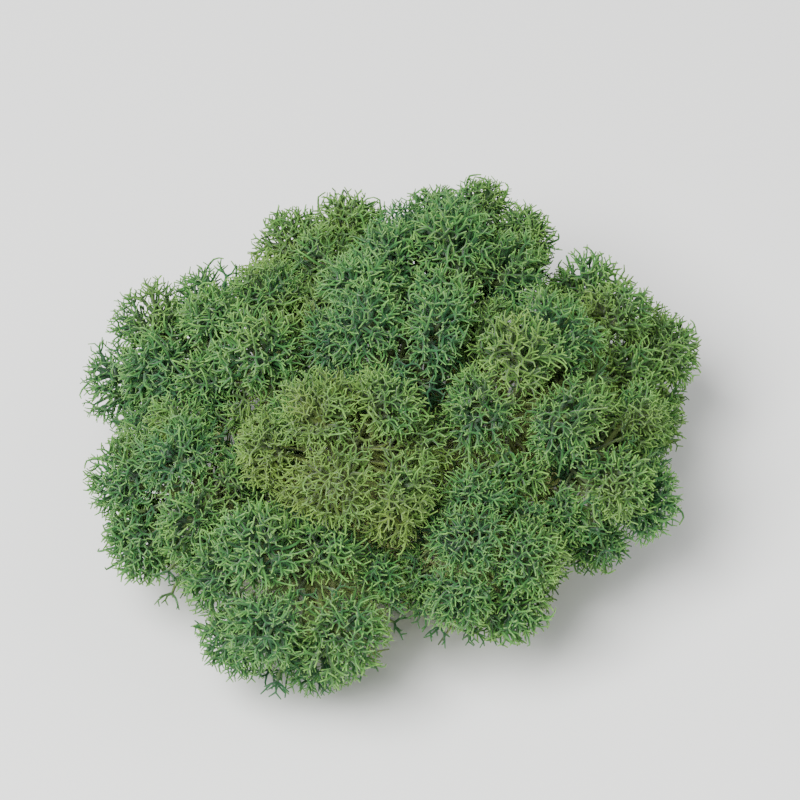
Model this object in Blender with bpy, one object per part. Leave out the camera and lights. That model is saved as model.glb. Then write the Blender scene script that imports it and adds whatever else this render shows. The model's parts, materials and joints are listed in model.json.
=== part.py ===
"""A clump of reindeer moss, as picked: lobed crowns of fine tips on bunches of thin stems.

Reindeer moss has no leaves and no roots. Each plant is one body of hollow stems that fork
again and again, closer and thinner towards the light, so that the last forks pack into a
lobed crown. In a clump the plants stand side by side and their crowns press together.
Each plant is one object here. Its stems with their forked side twigs, the dense inside of
its crown and the lobes with the tips that stand out of them are joined into one solid.

Lengths are in metres and +Z is up. The origin is the foot of the middle plant's main stem.
"""

import math
import random
from collections import namedtuple

import bmesh
import bpy
from mathutils import Vector

# The clump over all: X is its long way
CLUMP_LENGTH = 0.090
CLUMP_WIDTH = 0.078
CLUMP_HEIGHT = 0.050

# The plants stand in a middle and two rings. Reach is a share of the clump's half length.
Ring = namedtuple("Ring", "count reach crown_radius first_turn")
RINGS = (
    Ring(count=1, reach=0.00, crown_radius=0.0165, first_turn=0),
    Ring(count=4, reach=0.40, crown_radius=0.0172, first_turn=40),
    Ring(count=8, reach=0.64, crown_radius=0.0166, first_turn=36),
)
LAYOUT_SEED = 11
TURN_SCATTER = 5  # degrees
REACH_SCATTER = 0.05
RADIUS_SCATTER = 0.10
HEIGHT_SCATTER = 0.0028
DOME_FALL = 0.80  # the crowns' tops fall by this share of the height towards a reach of 1
DOME_POWER = 2.6
LEAN = 58  # degrees that a crown would lean at a reach of 1

# A crown is a dense ball with smaller balls, its lobes, set round its upper side
CORE_SHARE = 0.60  # the dense inside, as a share of the crown's radius
CORNERS_ON_CORE = 20
CORE_GAP = 0.0009  # from the dense inside to the plane where two crowns press together
LOBE_COUNT = 10
LOBE_RADIUS_SHARE = 0.40
LOBE_SCATTER = 0.12
LOBE_CAP = 108  # degrees from the crown's axis that the lobes reach
PRESS_GAP = 0.0003  # from a lobe's tips to the plane where two crowns press together
LOBE_INSIDE = 0.0024  # a lobe's centre is at least this far inside that plane
LOWEST_LOBE = 0.42  # a lobe pushed nearer its crown's centre than this share isn't there
FLATTEST_LOBE = 0.25  # the least that other lobes leave of a lobe's radius

# A lobe is a small ball whose outer faces are each drawn out into a tip
CORNERS_ON_LOBE = 16
CORNER_SCATTER = 0.16
BALL_SHARE = 0.56  # the small ball, as a share of the lobe's radius
TIP_CAP = 112  # degrees from the lobe's outward direction that its tips reach
SHORTEST_TIP = 0.0010
TIP_RADIUS = 0.00070
TIP_SCATTER = 0.14
CLEARANCE = 0.00035  # between a tip, twig or stem and another plant
NEIGHBOURHOOD = 0.030  # further than a length of stem can reach

# Stems: a main one and thinner ones round it, each with forked side twigs
FOOT_DRAWN_IN = 0.74  # the plants' feet are nearer the clump's middle than their crowns
SIDE_STEMS = 3
STEM_SIDES = 4
MAIN_STEM_RADIUS = 0.0015
SIDE_STEM_RADIUS = 0.00105
STEM_TAPER = 0.70
STEM_FOOT_SPREAD = 0.0030
STEM_JOIN_SPREAD = 0.0058
STEM_INSIDE = 0.0020  # a stem enters its crown this far inside the plane to the next one
STEM_BOW = 0.0026
STEM_JOIN_SHARE = 0.25  # how far under the crown's centre the stems end, inside the core
STEM_LEVELS = (0.0, 0.45, 1.0)
STEM_TRIES = 30  # new directions for a stem that meets another plant, before it is left out
TWIGS_ON_STEM = (0.26, 0.50)
STEM_TURN_SCATTER = 0.4  # radians
STEM_SCATTER = 0.15
TWIG_RADIUS = 0.00070
STEM_TWIG_LENGTH = 0.0070
STEM_TWIG_LENGTH_SCATTER = 0.18
STEM_TWIG_RISE = 1.1
STEM_TWIG_SCATTER = 0.07
STEM_TWIG_FORK = 0.6  # where it forks, as a share of its length
STEM_TWIG_FAN = 2.6  # how far its tips spread, in twig radii
FORK_HOLLOW = 0.0004

Plant = namedtuple("Plant", "name centre radius axis foot seed")
Ball = namedtuple("Ball", "centre radius")
Rod = namedtuple("Rod", "start end radius")
Stem = namedtuple("Stem", "line radius")


def golden_directions(count, cap_degrees, axis, turn):
    """Directions spread evenly over a cap around axis, along a spiral."""
    golden_angle = math.pi * (3 - math.sqrt(5))
    to_axis = axis.to_track_quat("Z", "Y")
    lowest = math.cos(math.radians(cap_degrees))
    for k in range(count):
        height = 1 - (1 - lowest) * (k + 0.5) / count
        flat = math.sqrt(1 - height * height)
        angle = golden_angle * k + turn
        yield to_axis @ Vector((flat * math.cos(angle), flat * math.sin(angle), height))


def lay_out_crowns():
    """Every crown's place and size, by ring, with a seeded scatter."""
    draw = random.Random(LAYOUT_SEED)
    plants = []
    for ring in RINGS:
        for k in range(ring.count):
            turn = ring.first_turn + 360 * k / ring.count + draw.uniform(-1, 1) * TURN_SCATTER
            reach = ring.reach * (1 + draw.uniform(-1, 1) * REACH_SCATTER)
            radius = ring.crown_radius * (1 + draw.uniform(-1, 1) * RADIUS_SCATTER)
            lift = draw.uniform(-1, 1) * HEIGHT_SCATTER if ring.reach else 0
            outward = Vector((math.cos(math.radians(turn)), math.sin(math.radians(turn)), 0))
            spot = Vector((outward.x * CLUMP_LENGTH, outward.y * CLUMP_WIDTH, 0)) * reach / 2
            top = CLUMP_HEIGHT * (1 - DOME_FALL * reach**DOME_POWER) + lift
            lean = math.radians(LEAN * reach)
            plants.append(
                Plant(
                    name=f"plant_{len(plants) + 1:02d}",
                    centre=spot + Vector((0, 0, top - radius)),
                    radius=radius,
                    axis=outward * math.sin(lean) + Vector((0, 0, math.cos(lean))),
                    foot=spot * FOOT_DRAWN_IN,
                    seed=LAYOUT_SEED * 100 + len(plants),
                )
            )
    return plants


def lay_out_lobes(plant, plants):
    """The balls set round the upper side of one crown, each inside the crown's own room."""
    draw = random.Random(plant.seed)
    turn = draw.uniform(0, math.tau)
    lobes = []
    for direction in golden_directions(LOBE_COUNT, LOBE_CAP, plant.axis, turn):
        lobe_radius = plant.radius * LOBE_RADIUS_SHARE * (1 + draw.uniform(-1, 1) * LOBE_SCATTER)
        out = plant.radius * (1 - LOBE_RADIUS_SHARE) * (1 + draw.uniform(-1, 0) * LOBE_SCATTER)
        wall = wall_reach(plant, plant.centre, direction, plants, LOBE_INSIDE)
        if wall > plant.radius * LOWEST_LOBE:
            lobes.append(Ball(plant.centre + direction * min(out, wall), lobe_radius))
    return lobes


def wall_reach(ball, start, direction, others, gap):
    """How far it is that way from a point in a ball to where it is pressed against others."""
    reach = math.inf
    for other in others:
        between = other.centre - ball.centre
        if other is ball or direction.dot(between) <= 0:
            continue
        apart = between.length
        towards = direction.dot(between) / apart
        wall = (apart * apart + ball.radius**2 - other.radius**2) / (2 * apart) - gap
        depth = wall - (start - ball.centre).dot(between) / apart
        reach = min(reach, depth / towards)
    return reach


def new_object(name, shape):
    """A mesh object from a bmesh, which it frees."""
    mesh = bpy.data.meshes.new(name)
    shape.to_mesh(mesh)
    shape.free()
    return bpy.data.objects.new(name, mesh)


def ball_shape(count, axis, draw):
    """A closed ball of three-sided faces on unevenly spread corners, and its corners' ways."""
    shape = bmesh.new()
    for direction in golden_directions(count, 180, axis, draw.uniform(0, math.tau)):
        shift = Vector([draw.uniform(-1, 1) * CORNER_SCATTER for _ in range(3)])
        shape.verts.new((direction + shift).normalized())
    bmesh.ops.convex_hull(shape, input=shape.verts)
    bmesh.ops.recalc_face_normals(shape, faces=shape.faces)
    return shape, {corner: corner.co.copy() for corner in shape.verts}


def core_object(plant, plants):
    """The dense inside of a crown."""
    shape, ways = ball_shape(CORNERS_ON_CORE, plant.axis, random.Random(plant.seed + 2000))
    for corner, way in ways.items():
        wall = wall_reach(plant, plant.centre, way, plants, CORE_GAP)
        corner.co = plant.centre + way * min(plant.radius * CORE_SHARE, wall)
    return new_object("core", shape)


def lobe_object(plant, lobe, lobes, plants, other_stems, draw):
    """A lobe: a small ball whose outer faces are each drawn out into a tip."""

    def lobe_reach(way, gap):
        crown_wall = wall_reach(plant, lobe.centre, way, plants, gap)
        lobe_wall = wall_reach(lobe, lobe.centre, way, lobes, gap)
        return min(lobe.radius, crown_wall, max(lobe_wall, lobe.radius * FLATTEST_LOBE))

    outward = (lobe.centre - plant.centre).normalized()
    shape, ways = ball_shape(CORNERS_ON_LOBE, outward, draw)
    for corner, way in ways.items():
        corner.co = lobe.centre + way * min(lobe.radius * BALL_SHARE, lobe_reach(way, CORE_GAP))
    for face in list(shape.faces):
        low = list(face.verts)
        middle = sum((ways[corner] for corner in low), Vector()).normalized()
        base = sum((corner.co - lobe.centre for corner in low), Vector()).dot(middle) / 3
        reach = lobe_reach(middle, PRESS_GAP) * (1 + draw.uniform(-1, 0) * TIP_SCATTER)
        too_short = reach < base + SHORTEST_TIP
        if too_short or middle.angle(outward) > math.radians(TIP_CAP):
            continue
        point = lobe.centre + middle * reach
        if is_clear([Rod(lobe.centre, point, TIP_RADIUS)], other_stems):
            shape.faces.remove(face)
            tip = shape.verts.new(point)
            for side in range(3):
                shape.faces.new((low[side], low[(side + 1) % 3], tip))
    return new_object("lobe", shape)


def rods_apart(one, other):
    """The gap between two rods, sampled along the first."""
    gap = math.inf
    along = other.end - other.start
    for share in (0, 0.25, 0.5, 0.75, 1):
        point = one.start.lerp(one.end, share)
        nearest = (point - other.start).dot(along) / max(along.length_squared, 1e-12)
        near_point = other.start + along * min(1, max(0, nearest))
        gap = min(gap, (point - near_point).length)
    return gap - one.radius - other.radius


def is_clear(rods, others):
    """Whether a chain of rods keeps its clearance to all others."""
    start = rods[0].start
    near = NEIGHBOURHOOD + sum((rod.end - rod.start).length for rod in rods)
    others = [rod for rod in others if (rod.start - start).length < near]
    return all(rods_apart(one, other) > CLEARANCE for one in rods for other in others)


def crown_rods(plant, lobes, lobe_share):
    """A crown's dense inside and its lobes as balls, which are rods of no length."""
    rods = [Rod(plant.centre, plant.centre, plant.radius * CORE_SHARE)]
    return rods + [Rod(lobe.centre, lobe.centre, lobe.radius * lobe_share) for lobe in lobes]


def lay_out_stems(plants, lobes):
    """Every plant's stems, from the ground into its crown, clear of the other plants."""
    stems = {plant.name: [] for plant in plants}
    for plant in plants:
        draw = random.Random(plant.seed + 1000)
        others = []
        for other in plants:
            if other is not plant:
                others += crown_rods(other, lobes[other.name], BALL_SHARE)
                others += [rod for stem in stems[other.name] for rod in stem_rods(stem)]
        first_turn = draw.uniform(0, math.tau)
        for k in range(SIDE_STEMS + 1):
            radius = SIDE_STEM_RADIUS if k else MAIN_STEM_RADIUS
            for _ in range(STEM_TRIES):
                angle = first_turn + math.tau * k / SIDE_STEMS
                angle += draw.uniform(-1, 1) * STEM_TURN_SCATTER
                aside = Vector((math.cos(angle), math.sin(angle), 0)) if k else Vector()
                stem = Stem(stem_line(plant, plants, aside, draw), radius)
                if is_clear(stem_rods(stem), others):
                    stems[plant.name].append(stem)
                    break
    return stems


def stem_line(plant, plants, aside, draw):
    """The middle line of one stem, which bows a little on its way up."""
    foot = plant.foot + aside * STEM_FOOT_SPREAD * (1 + draw.uniform(-1, 1) * STEM_SCATTER)
    join = plant.centre - plant.axis * plant.radius * STEM_JOIN_SHARE
    wall = wall_reach(plant, join, aside, plants, STEM_INSIDE)
    join += aside * min(STEM_JOIN_SPREAD * (1 + draw.uniform(-1, 1) * STEM_SCATTER), wall)
    bow = Vector((draw.uniform(-1, 1), draw.uniform(-1, 1), 0)) * STEM_BOW
    return [foot.lerp(join, share) + bow * math.sin(math.pi * share) for share in STEM_LEVELS]


def stem_rods(stem):
    return [Rod(low, high, stem.radius) for low, high in zip(stem.line, stem.line[1:])]


def stem_object(stem):
    """A stem as level rings, so that its foot is flat on the ground."""
    shape = bmesh.new()
    rings = []
    for share, point in zip(STEM_LEVELS, stem.line):
        ring_radius = stem.radius * (1 - (1 - STEM_TAPER) * share)
        ring = []
        for side in range(STEM_SIDES):
            angle = math.tau * side / STEM_SIDES
            out = Vector((math.cos(angle), math.sin(angle), 0)) * ring_radius
            ring.append(shape.verts.new(point + out))
        rings.append(ring)
    for low, high in zip(rings, rings[1:]):
        for side in range(STEM_SIDES):
            after = (side + 1) % STEM_SIDES
            shape.faces.new((low[side], low[after], high[after], high[side]))
    shape.faces.new(reversed(rings[0]))
    shape.faces.new(rings[-1])
    return new_object("stem", shape)


def point_along(line, share):
    """The point at a share of a stem's height, on its straight stretch there."""
    for low, high, low_point, high_point in zip(STEM_LEVELS, STEM_LEVELS[1:], line, line[1:]):
        if share <= high:
            return low_point.lerp(high_point, (share - low) / (high - low))
    return line[-1]


def stem_twigs(plant, stems, others):
    """Short forked twigs that stand out of the stems, rising outwards, with their rods."""
    draw = random.Random(plant.seed + 3000)
    for stem in stems:
        for share in TWIGS_ON_STEM:
            start = point_along(stem.line, share + draw.uniform(-1, 1) * STEM_TWIG_SCATTER)
            angle = draw.uniform(0, math.tau)
            direction = Vector((math.cos(angle), math.sin(angle), STEM_TWIG_RISE)).normalized()
            length = STEM_TWIG_LENGTH * (1 + draw.uniform(-1, 1) * STEM_TWIG_LENGTH_SCATTER)
            fork = start + direction * length * STEM_TWIG_FORK
            to_direction = direction.to_track_quat("Z", "Y")
            aside = []
            for third in range(3):
                turn = angle + math.tau * third / 3
                step = to_direction @ Vector((math.cos(turn), math.sin(turn), 0))
                aside.append(step * TWIG_RADIUS)
            end = start + direction * length
            tips = [end + (aside[k] + aside[(k + 1) % 3]) * STEM_TWIG_FAN for k in range(3)]
            rods = [Rod(start, fork, TWIG_RADIUS)]
            rods += [Rod(fork, tip, TWIG_RADIUS) for tip in tips]
            if is_clear(rods, others):
                yield twig_object(start, fork, direction, aside, tips), rods


def twig_object(start, fork, direction, aside, tips):
    """A three-sided twig whose end is drawn out into three tips round a hollow."""
    shape = bmesh.new()
    root = [shape.verts.new(start + step) for step in aside]
    ring = [shape.verts.new(fork + step) for step in aside]
    hollow = shape.verts.new(fork - direction * FORK_HOLLOW)
    shape.faces.new(reversed(root))
    for side, point in enumerate(tips):
        after = (side + 1) % 3
        tip = shape.verts.new(point)
        shape.faces.new((root[side], root[after], ring[after]))
        shape.faces.new((root[side], ring[after], ring[side]))
        shape.faces.new((ring[side], ring[after], tip))
        shape.faces.new((ring[after], hollow, tip))
        shape.faces.new((hollow, ring[side], tip))
    return new_object("twig", shape)


def keep_outer_skin(mesh):
    """Drops all but the largest island: a hollow that the joining sealed, or a loose scrap."""
    shape = bmesh.new()
    shape.from_mesh(mesh)
    unseen = set(shape.faces)
    islands = []
    while unseen:
        island = set()
        edge_of_island = [unseen.pop()]
        while edge_of_island:
            face = edge_of_island.pop()
            island.add(face)
            for edge in face.edges:
                for neighbour in edge.link_faces:
                    if neighbour in unseen:
                        unseen.remove(neighbour)
                        edge_of_island.append(neighbour)
        islands.append(island)
    islands.sort(key=len)
    for island in islands[:-1]:
        bmesh.ops.delete(shape, geom=list(island), context="FACES")
    shape.to_mesh(mesh)
    shape.free()
    return len(islands) - 1


def join_into(body, pieces, name):
    """One Boolean union of the body with all its pieces, applied, and the pieces removed."""
    group = bpy.data.collections.new(name + "_pieces")
    bpy.context.scene.collection.children.link(group)
    for piece in pieces:
        group.objects.link(piece)
    bpy.context.scene.collection.objects.link(body)
    union = body.modifiers.new("join", "BOOLEAN")
    union.operation = "UNION"
    union.operand_type = "COLLECTION"
    union.collection = group
    union.solver = "MANIFOLD"
    graph = bpy.context.evaluated_depsgraph_get()
    joined = bpy.data.meshes.new_from_object(body.evaluated_get(graph))
    body.modifiers.clear()
    dropped = keep_outer_skin(joined)
    body.data = joined
    body.name = name
    joined.name = name
    for piece in pieces:
        bpy.data.objects.remove(piece)
    bpy.data.collections.remove(group)
    print(f"{name}: {len(pieces)} pieces joined, {dropped} sealed hollows filled")
    return body


def moss_material():
    """Lichen dyed green: matt, with no shine of its own."""
    material = bpy.data.materials.new("dyed_lichen")
    material.use_nodes = True
    shader = material.node_tree.nodes["Principled BSDF"]
    shader.inputs["Base Color"].default_value = (0.105, 0.235, 0.060, 1)
    shader.inputs["Roughness"].default_value = 0.85
    shader.inputs["Metallic"].default_value = 0
    return material


def build_clump():
    plants = lay_out_crowns()
    lobes = {plant.name: lay_out_lobes(plant, plants) for plant in plants}
    stems = lay_out_stems(plants, lobes)
    material = moss_material()
    taken = {name: [rod for stem in stems[name] for rod in stem_rods(stem)] for name in stems}
    crowns = {plant.name: crown_rods(plant, lobes[plant.name], 1) for plant in plants}
    for plant in plants:
        other_names = [name for name in stems if name != plant.name]
        other_stems = [rod for name in other_names for rod in taken[name]]
        others = other_stems + [rod for name in other_names for rod in crowns[name]]
        pieces = [stem_object(stem) for stem in stems[plant.name]]
        for twig, rods in stem_twigs(plant, stems[plant.name], others):
            pieces.append(twig)
            taken[plant.name] += rods
        draw = random.Random(plant.seed + 4000)
        for lobe in lobes[plant.name]:
            pieces.append(lobe_object(plant, lobe, lobes[plant.name], plants, other_stems, draw))
        body = join_into(core_object(plant, plants), pieces, plant.name)
        print(f"{plant.name}: {len(stems[plant.name])} stems, {len(lobes[plant.name])} lobes")
        body.data.materials.clear()
        body.data.materials.append(material)


for old in list(bpy.data.objects):
    bpy.data.objects.remove(old)
build_clump()
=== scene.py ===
# %% [markdown]
# # A clump of reindeer moss
#
# Reindeer moss is a lichen, not a moss. Each plant is a thin hollow stem that forks again and
# again. Near the light the forks come closer and closer, until they pack into a lobed crown,
# like a tiny cauliflower made of threads. Craft moss is picked as a clump of such plants,
# preserved so that it stays soft, and dyed green.
#
# The solids of the source hold each plant's place and form. Here every plant gets its real
# threads: a skeleton of branch lines is worked out first, Geometry Nodes give the lines their
# thickness and set a small forked spray on each end, and one material colours it all.

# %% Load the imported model
import json
import math
import random
from collections import namedtuple

import bpy
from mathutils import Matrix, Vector

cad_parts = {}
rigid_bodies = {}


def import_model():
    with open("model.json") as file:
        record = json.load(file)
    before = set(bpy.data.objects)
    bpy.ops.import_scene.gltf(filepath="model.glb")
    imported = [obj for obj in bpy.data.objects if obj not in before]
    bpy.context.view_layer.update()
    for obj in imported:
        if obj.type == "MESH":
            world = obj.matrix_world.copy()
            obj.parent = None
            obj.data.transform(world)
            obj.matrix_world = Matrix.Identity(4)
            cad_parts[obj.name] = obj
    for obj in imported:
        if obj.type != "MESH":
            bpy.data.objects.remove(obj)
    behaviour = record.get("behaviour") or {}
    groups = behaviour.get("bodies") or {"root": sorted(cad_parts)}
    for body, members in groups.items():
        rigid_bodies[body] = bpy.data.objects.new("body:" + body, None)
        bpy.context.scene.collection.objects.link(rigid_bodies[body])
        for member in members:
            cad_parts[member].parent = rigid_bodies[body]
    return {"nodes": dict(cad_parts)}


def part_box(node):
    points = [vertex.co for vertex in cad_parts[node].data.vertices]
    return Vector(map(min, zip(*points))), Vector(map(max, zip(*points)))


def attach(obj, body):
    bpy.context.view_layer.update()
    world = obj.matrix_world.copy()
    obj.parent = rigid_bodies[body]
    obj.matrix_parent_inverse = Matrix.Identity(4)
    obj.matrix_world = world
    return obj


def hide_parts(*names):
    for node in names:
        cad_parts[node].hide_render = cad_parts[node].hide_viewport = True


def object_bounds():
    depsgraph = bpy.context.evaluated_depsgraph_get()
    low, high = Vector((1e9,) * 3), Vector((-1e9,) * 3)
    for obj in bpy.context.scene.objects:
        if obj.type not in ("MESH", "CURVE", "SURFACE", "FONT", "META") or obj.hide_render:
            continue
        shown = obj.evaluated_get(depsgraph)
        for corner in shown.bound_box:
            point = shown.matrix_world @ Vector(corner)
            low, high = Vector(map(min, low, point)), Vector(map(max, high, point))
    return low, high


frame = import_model()
solid_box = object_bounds()
MM = 0.001
UP = Vector((0, 0, 1))
print("solids' size in mm:", [round(side / MM, 1) for side in solid_box[1] - solid_box[0]])

# %% [markdown]
# ## The view
#
# The clump is seen from well above, turned a little, and from a good arm's length away. A wide
# lens close by would frame it as well, but would swell the near crowns. A long lens from this
# distance keeps near and far crowns at nearly the same size. The camera could be aimed by hand;
# two angles and a distance are easier to set right, and the lamps can use the same function.

# %% Camera
VIEW_TURN = -34.2  # degrees round the clump; 0 looks along +Y
VIEW_RISE = 49.3  # degrees above the table
VIEW_DISTANCE = 0.76
LENS = 252


def view_direction(turn, rise):
    """The way a camera looks that is turned round the clump and raised above the table."""
    turn, rise = math.radians(turn), math.radians(rise)
    level = Vector((-math.sin(turn), math.cos(turn), 0))
    return level * math.cos(rise) - Vector((0, 0, math.sin(rise)))


middle = (solid_box[0] + solid_box[1]) / 2
view = view_direction(VIEW_TURN, VIEW_RISE)
camera = bpy.data.objects.new("camera", bpy.data.cameras.new("camera"))
camera.data.lens = LENS
camera.location = middle - view * VIEW_DISTANCE
camera.rotation_euler = view.to_track_quat("-Z", "Y").to_euler()
bpy.context.scene.collection.objects.link(camera)
bpy.context.scene.camera = camera
print("the camera is", round(camera.location.z, 3), "m above the table")

# %% [markdown]
# ## Where the plants stand
#
# A real clump is a low dome: a plant or two in its middle and rings of others that lean
# outwards. The crowns could be placed by hand or by letting balls fall together. A middle and
# two rings with a seeded scatter say the same in a few values. These values and rules are those
# of the source, so that the fine plants grow exactly where the solid ones stand.

# %% Crowns
CLUMP_LENGTH = 90 * MM
CLUMP_WIDTH = 78 * MM
CLUMP_HEIGHT = 50 * MM
RINGS = (  # how many plants, their reach, their crowns' radius and the first one's turn
    (1, 0.00, 16.5 * MM, 0),
    (4, 0.40, 17.2 * MM, 40),
    (8, 0.64, 16.6 * MM, 36),
)
LAYOUT_SEED = 11
LOBE_SEEDS = LAYOUT_SEED * 100  # counted on from here, one a crown
TURN_SCATTER = 5  # degrees
REACH_SCATTER = 0.05
RADIUS_SCATTER = 0.10
HEIGHT_SCATTER = 2.8 * MM
DOME_FALL = 0.80  # the crowns' tops fall by this share of the height towards a reach of 1
DOME_POWER = 2.6
LEAN = 58  # degrees that a crown would lean at a reach of 1

Ball = namedtuple("Ball", "centre radius axis")  # a crown or a lobe, and the way it faces


def lay_out_crowns():
    """Every crown's place and size, by ring, with a seeded scatter."""
    draw = random.Random(LAYOUT_SEED)
    crowns = []
    for count, ring_reach, ring_radius, first_turn in RINGS:
        for k in range(count):
            turn = first_turn + 360 * k / count + draw.uniform(-1, 1) * TURN_SCATTER
            reach = ring_reach * (1 + draw.uniform(-1, 1) * REACH_SCATTER)
            radius = ring_radius * (1 + draw.uniform(-1, 1) * RADIUS_SCATTER)
            lift = draw.uniform(-1, 1) * HEIGHT_SCATTER if ring_reach else 0
            outward = Vector((math.cos(math.radians(turn)), math.sin(math.radians(turn)), 0))
            spot = Vector((outward.x * CLUMP_LENGTH, outward.y * CLUMP_WIDTH, 0)) * reach / 2
            top = CLUMP_HEIGHT * (1 - DOME_FALL * reach**DOME_POWER) + lift
            lean = math.radians(LEAN * reach)
            axis = outward * math.sin(lean) + Vector((0, 0, math.cos(lean)))
            crowns.append(Ball(spot + Vector((0, 0, top - radius)), radius, axis))
    return crowns


crowns = lay_out_crowns()
names = sorted(name for name in frame["nodes"] if name.startswith("plant_"))
assert len(names) == len(crowns)
for name, crown in zip(names, crowns):
    low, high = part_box(name)
    assert low.x < crown.centre.x < high.x and low.y < crown.centre.y < high.y, name
print(len(crowns), "plants stand where the solids do")

# %% [markdown]
# ## Lobes
#
# Each crown is a ball with smaller balls, its lobes, set round its upper side. Two balls that
# press together are flat where they meet, in the plane through the circle they share. Cutting
# meshes with each other there would be slow; it is enough to ask how far that plane is.

# %% Lobes of the crowns
LOBE_COUNT = 10
LOBE_RADIUS_SHARE = 0.40
LOBE_SCATTER = 0.12
LOBE_CAP = 108  # degrees from the crown's axis that the lobes reach
LOBE_INSIDE = 2.4 * MM  # a lobe's centre is at least this far inside the plane to the next crown
LOWEST_LOBE = 0.42  # a lobe pushed nearer its crown's centre than this share isn't there


def golden_directions(count, cap_degrees, axis, turn):
    """Directions spread evenly over a cap around axis, along a spiral."""
    golden_angle = math.pi * (3 - math.sqrt(5))
    to_axis = axis.to_track_quat("Z", "Y")
    lowest = math.cos(math.radians(cap_degrees))
    for k in range(count):
        height = 1 - (1 - lowest) * (k + 0.5) / count
        flat = math.sqrt(1 - height * height)
        angle = golden_angle * k + turn
        yield to_axis @ Vector((flat * math.cos(angle), flat * math.sin(angle), height))


def wall_reach(ball, start, direction, others, gap):
    """How far it is that way from a point in a ball to where it is pressed against others."""
    reach = math.inf
    for other in others:
        between_centres = other.centre - ball.centre
        if other is ball or direction.dot(between_centres) <= 0:
            continue
        apart = between_centres.length
        wall = (apart * apart + ball.radius**2 - other.radius**2) / (2 * apart) - gap
        depth = wall - (start - ball.centre).dot(between_centres) / apart
        reach = min(reach, depth * apart / direction.dot(between_centres))
    return reach


def lay_out_lobes(crown, crowns, seed):
    """The balls set round the upper side of one crown, each inside the crown's own room."""
    draw = random.Random(seed)
    turn = draw.uniform(0, math.tau)
    lobes = []
    for direction in golden_directions(LOBE_COUNT, LOBE_CAP, crown.axis, turn):
        radius = crown.radius * LOBE_RADIUS_SHARE * (1 + draw.uniform(-1, 1) * LOBE_SCATTER)
        out = crown.radius * (1 - LOBE_RADIUS_SHARE) * (1 + draw.uniform(-1, 0) * LOBE_SCATTER)
        wall = wall_reach(crown, crown.centre, direction, crowns, LOBE_INSIDE)
        if wall > crown.radius * LOWEST_LOBE:
            lobes.append(Ball(crown.centre + direction * min(out, wall), radius, direction))
    return lobes


lobes_by_crown = [
    lay_out_lobes(crown, crowns, LOBE_SEEDS + index) for index, crown in enumerate(crowns)
]
print("the crowns have", [len(lobes) for lobes in lobes_by_crown], "lobes")

# %% [markdown]
# ## The feet
#
# Each plant stands on a few cut stems. Their places needn't be worked out again: the faces of
# a solid that lie on the table are the cuts, and faces that share a corner are one foot.

# %% Feet of the stems
ON_TABLE = 0.05 * MM


def feet_of(name):
    """The middle and the radius of each foot of a plant."""
    mesh = frame["nodes"][name].data
    feet = []
    for face in mesh.polygons:
        corners = {tuple(round(part, 6) for part in mesh.vertices[k].co) for k in face.vertices}
        if any(corner[2] > ON_TABLE for corner in corners):
            continue
        for foot in [foot for foot in feet if foot & corners]:
            feet.remove(foot)
            corners |= foot
        feet.append(corners)
    middles = [sum((Vector(corner) for corner in foot), Vector()) / len(foot) for foot in feet]
    return [
        (middle, max((Vector(corner) - middle).length for corner in foot))
        for middle, foot in zip(middles, feet)
    ]


for name in names[:3]:
    print(name, "stands on feet of radius", [round(foot[1] / MM, 1) for foot in feet_of(name)])

# %% [markdown]
# ## Skeletons
#
# A branch of a lichen is a thin tube that tapers and wanders. It could be modelled as a tube
# straight away, but thousands of them are easier to grow as plain lines: points with a radius
# each, which the nodes thicken later. Each point also carries its age, from 0 at the table to
# 1 at a tip, its tone, and its lit share, which is below 1 where shade is painted on the threads
# inside a crown: the material reads them, to fade from the pale old stems to the green young
# tips and to paint shade on the inside. A loose point says where a spray stands, which way and
# how large.

# %% Skeleton


def between(ends, share):
    """The value at a share of the way from the first end to the second."""
    return ends[0] + (ends[1] - ends[0]) * share


class Skeleton:
    """Points joined by lines, and loose points that each carry a spray."""

    def __init__(self):
        self.points = []
        self.lines = []
        self.values = {"tube_radius": [], "age": [], "tone": [], "lit_share": [], "size": []}
        self.is_stem = []
        self.carries_spray = []
        self.facing = []
        self.tone = 0.0
        self.lit_share = 1.0

    def add_point(self, point, radius, age, is_stem=False):
        """A point of a line, in the skeleton's present tone and lit share, which is below 1 where
        shade is painted.
        """
        self.points.append(point)
        self.values["tube_radius"].append(radius)
        self.values["age"].append(age)
        self.values["tone"].append(self.tone)
        self.values["lit_share"].append(self.lit_share)
        self.values["size"].append(0.0)
        self.is_stem.append(is_stem)
        self.carries_spray.append(False)
        self.facing.append(UP)

    def add_spray(self, point, facing, size):
        """A loose point on which a spray of that size stands."""
        self.add_point(point, 0.0, 1.0)
        self.values["size"][-1] = size
        self.carries_spray[-1] = True
        self.facing[-1] = facing.normalized()

    def add_line(self, path, radii, ages, is_stem=False):
        """A line through the points of path, its radius and age changing along it."""
        first = len(self.points)
        last = len(path) - 1
        for k, point in enumerate(path):
            share = k / last
            self.add_point(point, between(radii, share), between(ages, share), is_stem)
        self.lines += [(first + k, first + k + 1) for k in range(last)]

    def to_object(self, name):
        """A mesh object of the points and lines, with a named attribute for each value."""
        mesh = bpy.data.meshes.new(name)
        mesh.from_pydata([tuple(point) for point in self.points], self.lines, [])
        for label, numbers in self.values.items():
            mesh.attributes.new(label, "FLOAT", "POINT").data.foreach_set("value", numbers)
        for label in ("is_stem", "carries_spray"):
            flags = mesh.attributes.new(label, "BOOLEAN", "POINT")
            flags.data.foreach_set("value", getattr(self, label))
        ways = mesh.attributes.new("facing", "FLOAT_VECTOR", "POINT")
        ways.data.foreach_set("vector", [part for way in self.facing for part in way])
        return bpy.data.objects.new(name, mesh)


print("a skeleton's points carry", ", ".join(Skeleton().values))

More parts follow.
